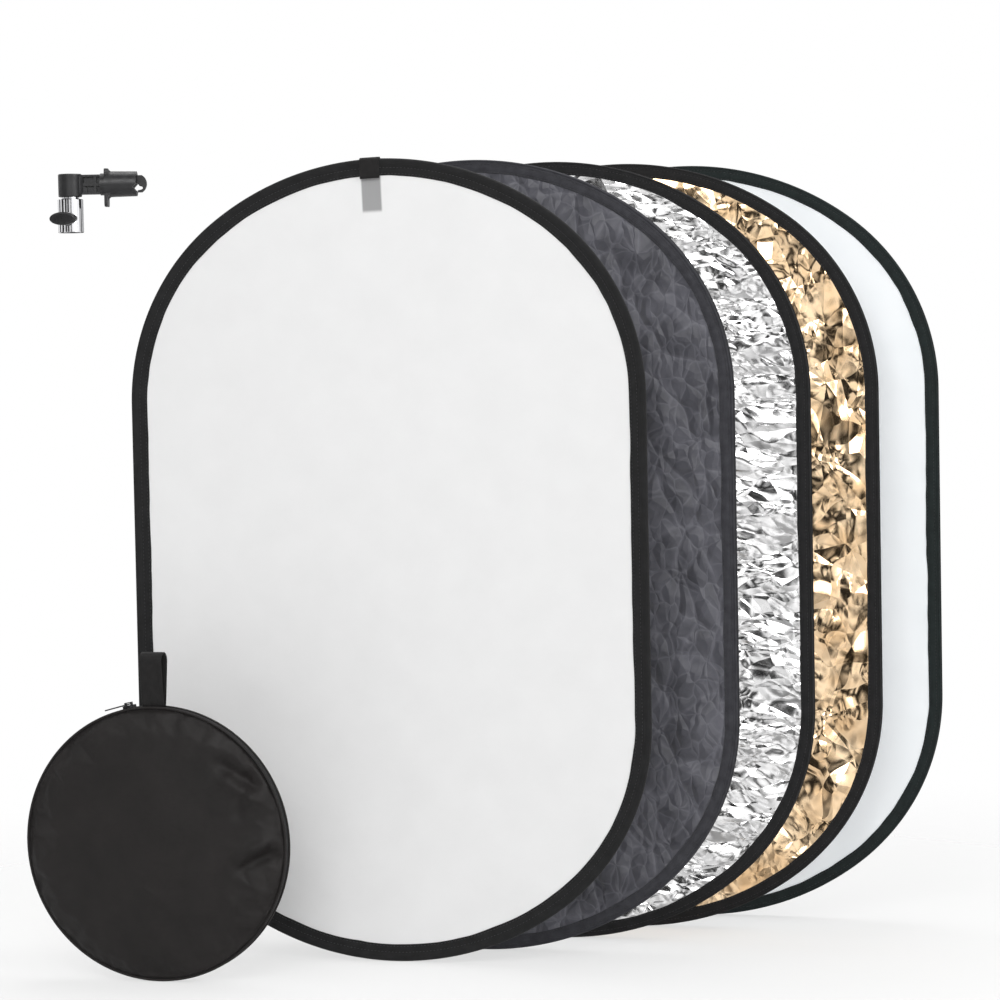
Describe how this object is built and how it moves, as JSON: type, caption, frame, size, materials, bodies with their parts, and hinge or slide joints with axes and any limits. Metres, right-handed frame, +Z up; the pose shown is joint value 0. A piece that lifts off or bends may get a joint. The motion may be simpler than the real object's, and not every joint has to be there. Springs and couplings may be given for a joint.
{
  "type": "collapsible reflector disc",
  "caption": "Oval collapsible reflector set for photography: diffuser, black, silver, gold and white panels, a round storage bag and a stand holder with a spring jaw.",
  "frame": {"origin": "middle of the whole displayed set in plan, at the height that the panels and the bag stand on", "axes": "+Z up, +X to the right across the fan of panels, -Y towards the viewer, whom the panels' front faces look at"},
  "size_m": [1.0492, 0.475, 0.9012],
  "materials": {
    "translucent_fabric": "translucent woven",
    "black_binding": "woven tape",
    "black_webbing": "woven webbing",
    "black_nylon": "smooth nylon, slightly wrinkled",
    "white_fabric": "smooth coated",
    "silver_foil": "crinkled metallised film",
    "gold_foil": "crinkled metallised film",
    "bag_nylon": "smooth nylon",
    "zip_tape": "woven tape with a nylon coil",
    "zip_metal": "black enamel",
    "spring_steel": "tempered",
    "ferrule_metal": "plain",
    "chrome": "polished",
    "steel": "plain",
    "brass": "turned",
    "black_plastic": "satin moulded",
    "black_knob": "fine-grained moulded"
  },
  "bodies": {
    "diffuser_panel": {"diffuser_fabric": "translucent_fabric", "diffuser_binding": "black_binding", "diffuser_spring_hoop": "spring_steel", "diffuser_hoop_ferrule": "ferrule_metal", "diffuser_tab": "black_webbing"},
    "black_panel": {"black_face": "black_nylon", "black_back": "white_fabric", "black_rim": "black_binding", "black_zip": "zip_tape", "black_core": "translucent_fabric", "black_spring_hoop": "spring_steel", "black_hoop_ferrule": "ferrule_metal"},
    "black_slider": {"black_zip_slider": "zip_metal"},
    "black_pull": {"black_zip_pull": "zip_metal"},
    "silver_panel": {"silver_face": "silver_foil", "silver_back": "gold_foil", "silver_rim": "black_binding", "silver_zip": "zip_tape", "silver_core": "translucent_fabric", "silver_spring_hoop": "spring_steel", "silver_hoop_ferrule": "ferrule_metal"},
    "silver_slider": {"silver_zip_slider": "zip_metal"},
    "silver_pull": {"silver_zip_pull": "zip_metal"},
    "gold_panel": {"gold_face": "gold_foil", "gold_back": "silver_foil", "gold_rim": "black_binding", "gold_zip": "zip_tape", "gold_core": "translucent_fabric", "gold_spring_hoop": "spring_steel", "gold_hoop_ferrule": "ferrule_metal"},
    "gold_slider": {"gold_zip_slider": "zip_metal"},
    "gold_pull": {"gold_zip_pull": "zip_metal"},
    "white_panel": {"white_face": "white_fabric", "white_back": "black_nylon", "white_rim": "black_binding", "white_zip": "zip_tape", "white_core": "translucent_fabric", "white_spring_hoop": "spring_steel", "white_hoop_ferrule": "ferrule_metal"},
    "white_slider": {"white_zip_slider": "zip_metal"},
    "white_pull": {"white_zip_pull": "zip_metal"},
    "bag": {"bag_front_panel": "bag_nylon", "bag_back_panel": "bag_nylon", "bag_piping": "black_binding", "bag_zip": "zip_tape", "bag_loop": "black_webbing"},
    "bag_slider": {"bag_zip_slider": "zip_metal"},
    "bag_pull": {"bag_zip_pull": "zip_metal"},
    "holder_mount": {"holder_barrel": "chrome"},
    "holder_arm": {"holder_head": "black_plastic", "holder_spigot": "steel", "holder_spigot_screw": "steel", "holder_hook": "black_plastic", "holder_hook_pin": "steel", "holder_spring": "spring_steel"},
    "holder_jaw": {"holder_sleeve": "black_plastic"},
    "holder_pad": {"holder_pressure_pad": "brass"},
    "holder_clamp_screw": {"holder_screw": "steel", "holder_knob": "black_knob"}
  },
  "joints": [
    {"name": "black_lift_off", "type": "slide", "parent": "diffuser_panel", "child": "black_panel", "axis": [0.9659, -0.2588, 0], "range_m": [0, 0.6]},
    {"name": "black_zip_slide", "type": "slide", "parent": "black_panel", "child": "black_slider", "axis": [0, 0, 1], "range_m": [0, 0.3]},
    {"name": "black_pull_swing", "type": "hinge", "parent": "black_slider", "child": "black_pull", "pos_m": [-0.31506, 0.03696, 0.297], "axis": [0.2588, 0.9659, 0], "range_deg": [0, 160]},
    {"name": "silver_lift_off", "type": "slide", "parent": "diffuser_panel", "child": "silver_panel", "axis": [0.9659, -0.2588, 0], "range_m": [0, 0.6]},
    {"name": "silver_zip_slide", "type": "slide", "parent": "silver_panel", "child": "silver_slider", "axis": [0, 0, 1], "range_m": [0, 0.3]},
    {"name": "silver_pull_swing", "type": "hinge", "parent": "silver_slider", "child": "silver_pull", "pos_m": [-0.22396, 0.10196, 0.297], "axis": [0.2588, 0.9659, 0], "range_deg": [0, 160]},
    {"name": "gold_lift_off", "type": "slide", "parent": "diffuser_panel", "child": "gold_panel", "axis": [0.9659, -0.2588, 0], "range_m": [0, 0.6]},
    {"name": "gold_zip_slide", "type": "slide", "parent": "gold_panel", "child": "gold_slider", "axis": [0, 0, 1], "range_m": [0, 0.3]},
    {"name": "gold_pull_swing", "type": "hinge", "parent": "gold_slider", "child": "gold_pull", "pos_m": [-0.13886, 0.16696, 0.297], "axis": [0.2588, 0.9659, 0], "range_deg": [0, 160]},
    {"name": "white_lift_off", "type": "slide", "parent": "diffuser_panel", "child": "white_panel", "axis": [0.9659, -0.2588, 0], "range_m": [0, 0.6]},
    {"name": "white_zip_slide", "type": "slide", "parent": "white_panel", "child": "white_slider", "axis": [0, 0, 1], "range_m": [0, 0.3]},
    {"name": "white_pull_swing", "type": "hinge", "parent": "white_slider", "child": "white_pull", "pos_m": [-0.06036, 0.23196, 0.297], "axis": [0.2588, 0.9659, 0], "range_deg": [0, 160]},
    {"name": "bag_lift_off", "type": "slide", "parent": "diffuser_panel", "child": "bag", "axis": [-0.2588, -0.9659, 0], "range_m": [0, 0.15]},
    {"name": "bag_zip_slide", "type": "hinge", "parent": "bag", "child": "bag_slider", "pos_m": [-0.37672, -0.19172, 0.1515], "axis": [-0.2588, -0.9659, 0], "range_deg": [0, 115]},
    {"name": "bag_pull_swing", "type": "hinge", "parent": "bag_slider", "child": "bag_pull", "pos_m": [-0.40549, -0.18401, 0.30412], "axis": [0.2588, 0.9659, 0], "range_deg": [0, 120]},
    {"name": "holder_lift_off", "type": "slide", "parent": "diffuser_panel", "child": "holder_mount", "axis": [-1, 0, 0], "range_m": [0, 0.12]},
    {"name": "holder_swivel", "type": "hinge", "parent": "holder_mount", "child": "holder_arm", "pos_m": [-0.46572, -0.10672, 0.877], "axis": [0, 0, 1], "continuous": true},
    {"name": "jaw_slide", "type": "slide", "parent": "holder_arm", "child": "holder_jaw", "axis": [-1, 0, 0], "range_m": [0, 0.015], "stiffness_N_per_m": 300, "springref_m": -0.01, "deforming": ["holder_spring"]},
    {"name": "pad_slide", "type": "slide", "parent": "holder_mount", "child": "holder_pad", "axis": [0.2079, 0.9781, 0], "range_m": [0, 0.0025]},
    {"name": "knob_turn", "type": "hinge", "parent": "holder_pad", "child": "holder_clamp_screw", "pos_m": [-0.46572, -0.10672, 0.8389], "axis": [0.2079, 0.9781, 0], "range_deg": [0, 720]}
  ],
  "couplings": [
    {"joint": "knob_turn", "follows": "pad_slide", "rad_per_m": 5026.5}
  ]
}
